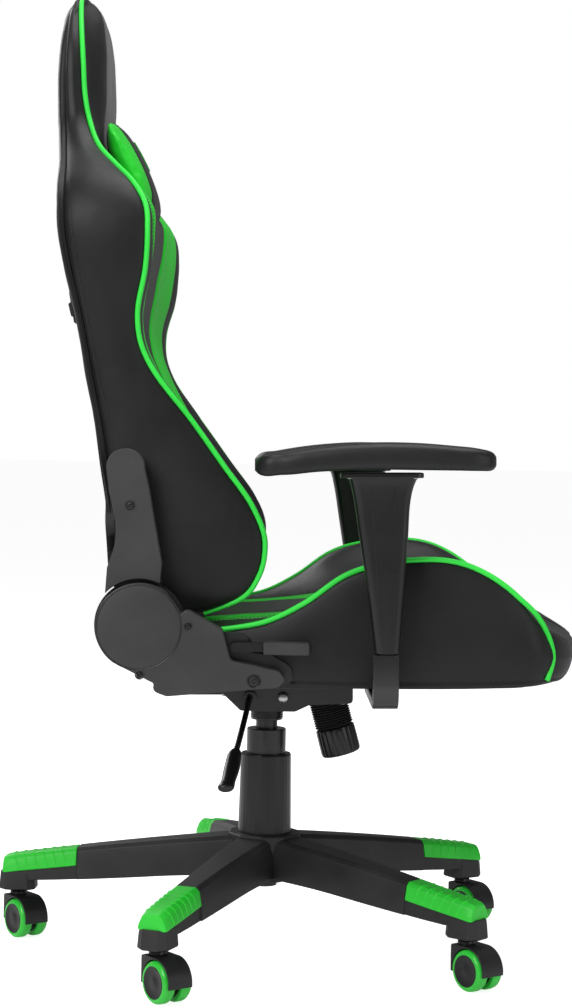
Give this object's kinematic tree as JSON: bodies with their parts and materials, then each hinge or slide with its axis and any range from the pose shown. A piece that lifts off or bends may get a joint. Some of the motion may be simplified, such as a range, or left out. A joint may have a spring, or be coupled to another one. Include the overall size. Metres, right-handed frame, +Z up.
{
  "type": "gaming chair",
  "caption": "Reclining bucket-style swivel armchair on a five-legged wheeled base, with gas lift, height-adjustable armrests and a strapped head pillow.",
  "frame": {"origin": "on the floor, under the middle of the chair's bounding box", "axes": "+X to the chair's front, +Y to the sitter's left, +Z up"},
  "size_m": [0.7345, 0.712, 1.2202],
  "materials": {
    "base_plastic": "satin textured nylon",
    "black_plastic": "satin",
    "hinge_plastic": "fine grain texture",
    "wheel_plastic": "satin",
    "green_plastic": "satin",
    "black_metal": "semi-gloss powder coat",
    "steel": "bright zinc",
    "rubber": "matt",
    "black_leather": "fine-grained, semi-matt",
    "strap_webbing": "woven",
    "arm_pad_foam": "soft-touch, semi-matt"
  },
  "bodies": {
    "base": {"base_star": "base_plastic", "foot_cap_1": "green_plastic", "foot_cap_2": "green_plastic", "foot_cap_3": "green_plastic", "foot_cap_4": "green_plastic", "foot_cap_5": "green_plastic", "column_sleeve": "black_plastic", "gas_lift_tube": "black_metal", "piston_rod": "steel"},
    "gas_column": {"gas_cylinder": "black_metal"},
    "seat_socket": {"column_socket": "black_metal", "rocking_pin": "steel"},
    "seat": {"tilt_housing": "black_metal", "seat_pan": "black_metal", "spring_boot": "rubber", "seat_cushion": "black_leather", "seat_hinge_plate_right": "black_metal", "seat_hinge_plate_left": "black_metal", "side_cover_right": "hinge_plastic", "side_cover_left": "hinge_plastic", "arm_bracket_right": "black_metal", "arm_bracket_left": "black_metal"},
    "tension_knob": {"tension_knob": "black_plastic"},
    "tilt_lock": {"lock_bush": "black_metal"},
    "height_lever": {"height_lever_rod": "steel", "height_lever_grip": "black_plastic"},
    "recline_lever": {"recline_lever": "black_plastic"},
    "backrest": {"backrest_cushion": "black_leather", "back_frame": "black_metal", "back_cover_right": "hinge_plastic", "back_cover_left": "hinge_plastic", "head_pillow": "black_leather", "pillow_strap": "strap_webbing"},
    "arm_right": {"arm_post_right": "black_plastic", "arm_pad_right": "arm_pad_foam"},
    "arm_button_right": {"arm_button_right": "black_plastic"},
    "arm_left": {"arm_post_left": "black_plastic", "arm_pad_left": "arm_pad_foam"},
    "arm_button_left": {"arm_button_left": "black_plastic"},
    "caster_1": {"caster_hood_1": "wheel_plastic", "caster_axle_1": "steel"},
    "wheel_1a": {"wheel_1a": "wheel_plastic"},
    "wheel_1b": {"wheel_1b": "wheel_plastic"},
    "caster_2": {"caster_hood_2": "wheel_plastic", "caster_axle_2": "steel"},
    "wheel_2a": {"wheel_2a": "wheel_plastic"},
    "wheel_2b": {"wheel_2b": "wheel_plastic"},
    "caster_3": {"caster_hood_3": "wheel_plastic", "caster_axle_3": "steel"},
    "wheel_3a": {"wheel_3a": "wheel_plastic"},
    "wheel_3b": {"wheel_3b": "wheel_plastic"},
    "caster_4": {"caster_hood_4": "wheel_plastic", "caster_axle_4": "steel"},
    "wheel_4a": {"wheel_4a": "wheel_plastic"},
    "wheel_4b": {"wheel_4b": "wheel_plastic"},
    "caster_5": {"caster_hood_5": "wheel_plastic", "caster_axle_5": "steel"},
    "wheel_5a": {"wheel_5a": "wheel_plastic"},
    "wheel_5b": {"wheel_5b": "wheel_plastic"}
  },
  "joints": [
    {"name": "caster_1_swivel", "type": "hinge", "parent": "base", "child": "caster_1", "pos_m": [0.2552, 0.16829, 0.05], "axis": [0, 0, 1], "continuous": true},
    {"name": "wheel_1a_spin", "type": "hinge", "parent": "caster_1", "child": "wheel_1a", "pos_m": [0.26723, 0.15231, 0.025], "axis": [0.7986, 0.6018, 0], "continuous": true},
    {"name": "wheel_1b_spin", "type": "hinge", "parent": "caster_1", "child": "wheel_1b", "pos_m": [0.26723, 0.15231, 0.025], "axis": [0.7986, 0.6018, 0], "continuous": true},
    {"name": "caster_2_swivel", "type": "hinge", "parent": "base", "child": "caster_2", "pos_m": [0.22475, -0.2102, 0.05], "axis": [0, 0, 1], "continuous": true},
    {"name": "wheel_2a_spin", "type": "hinge", "parent": "caster_2", "child": "wheel_2a", "pos_m": [0.23678, -0.22617, 0.025], "axis": [0.7986, 0.6018, 0], "continuous": true},
    {"name": "wheel_2b_spin", "type": "hinge", "parent": "caster_2", "child": "wheel_2b", "pos_m": [0.23678, -0.22617, 0.025], "axis": [0.7986, 0.6018, 0], "continuous": true},
    {"name": "caster_3_swivel", "type": "hinge", "parent": "base", "child": "caster_3", "pos_m": [-0.14463, -0.2982, 0.05], "axis": [0, 0, 1], "continuous": true},
    {"name": "wheel_3a_spin", "type": "hinge", "parent": "caster_3", "child": "wheel_3a", "pos_m": [-0.13259, -0.31417, 0.025], "axis": [0.7986, 0.6018, 0], "continuous": true},
    {"name": "wheel_3b_spin", "type": "hinge", "parent": "caster_3", "child": "wheel_3b", "pos_m": [-0.13259, -0.31417, 0.025], "axis": [0.7986, 0.6018, 0], "continuous": true},
    {"name": "caster_4_swivel", "type": "hinge", "parent": "base", "child": "caster_4", "pos_m": [-0.34246, 0.0259, 0.05], "axis": [0, 0, 1], "continuous": true},
    {"name": "wheel_4a_spin", "type": "hinge", "parent": "caster_4", "child": "wheel_4a", "pos_m": [-0.33042, 0.00993, 0.025], "axis": [0.7986, 0.6018, 0], "continuous": true},
    {"name": "wheel_4b_spin", "type": "hinge", "parent": "caster_4", "child": "wheel_4b", "pos_m": [-0.33042, 0.00993, 0.025], "axis": [0.7986, 0.6018, 0], "continuous": true},
    {"name": "caster_5_swivel", "type": "hinge", "parent": "base", "child": "caster_5", "pos_m": [-0.09535, 0.31421, 0.05], "axis": [0, 0, 1], "continuous": true},
    {"name": "wheel_5a_spin", "type": "hinge", "parent": "caster_5", "child": "wheel_5a", "pos_m": [-0.08332, 0.29823, 0.025], "axis": [0.7986, 0.6018, 0], "continuous": true},
    {"name": "wheel_5b_spin", "type": "hinge", "parent": "caster_5", "child": "wheel_5b", "pos_m": [-0.08332, 0.29823, 0.025], "axis": [0.7986, 0.6018, 0], "continuous": true},
    {"name": "gas_lift", "type": "slide", "parent": "base", "child": "gas_column", "axis": [0, 0, 1], "range_m": [0, 0.08]},
    {"name": "seat_swivel", "type": "hinge", "parent": "gas_column", "child": "seat_socket", "pos_m": [-0.0205, 0, 0.31], "axis": [0, 0, 1], "continuous": true},
    {"name": "rocking_tilt", "type": "hinge", "parent": "seat_socket", "child": "seat", "pos_m": [-0.0008, 0, 0.327], "axis": [0, -1, 0], "range_deg": [0, 15], "stiffness_Nm_per_rad": 90, "springref_deg": -20.05},
    {"name": "tension_knob_turn", "type": "hinge", "parent": "seat", "child": "tension_knob", "pos_m": [0.05795, 0, 0.32044], "axis": [0.2705, 0, -0.9627], "continuous": true},
    {"name": "tilt_lock_slide", "type": "slide", "parent": "seat", "child": "tilt_lock", "axis": [0, -1, 0], "range_m": [0, 0.01]},
    {"name": "height_lever_lift", "type": "hinge", "parent": "tilt_lock", "child": "height_lever", "pos_m": [-0.04318, -0.0605, 0.32581], "axis": [-0.9998, 0, -0.0211], "range_deg": [0, 7], "stiffness_Nm_per_rad": 1.5, "springref_deg": -11.46},
    {"name": "recline", "type": "hinge", "parent": "seat", "child": "backrest", "pos_m": [-0.17489, 0, 0.43385], "axis": [0, -1, 0], "range_deg": [0, 60]},
    {"name": "recline_lever_pull", "type": "hinge", "parent": "seat", "child": "recline_lever", "pos_m": [-0.05699, 0, 0.41103], "axis": [0, -1, 0], "range_deg": [0, 20], "stiffness_Nm_per_rad": 1.5, "springref_deg": -14.32},
    {"name": "arm_right_height", "type": "slide", "parent": "seat", "child": "arm_right", "axis": [-0.0211, 0, 0.9998], "range_m": [0, 0.06]},
    {"name": "arm_right_button_press", "type": "slide", "parent": "arm_right", "child": "arm_button_right", "axis": [0, -1, 0], "range_m": [0, 0.003], "stiffness_N_per_m": 400, "springref_m": -0.001},
    {"name": "arm_left_height", "type": "slide", "parent": "seat", "child": "arm_left", "axis": [-0.0211, 0, 0.9998], "range_m": [0, 0.06]},
    {"name": "arm_left_button_press", "type": "slide", "parent": "arm_left", "child": "arm_button_left", "axis": [0, 1, 0], "range_m": [0, 0.003], "stiffness_N_per_m": 400, "springref_m": -0.001}
  ]
}
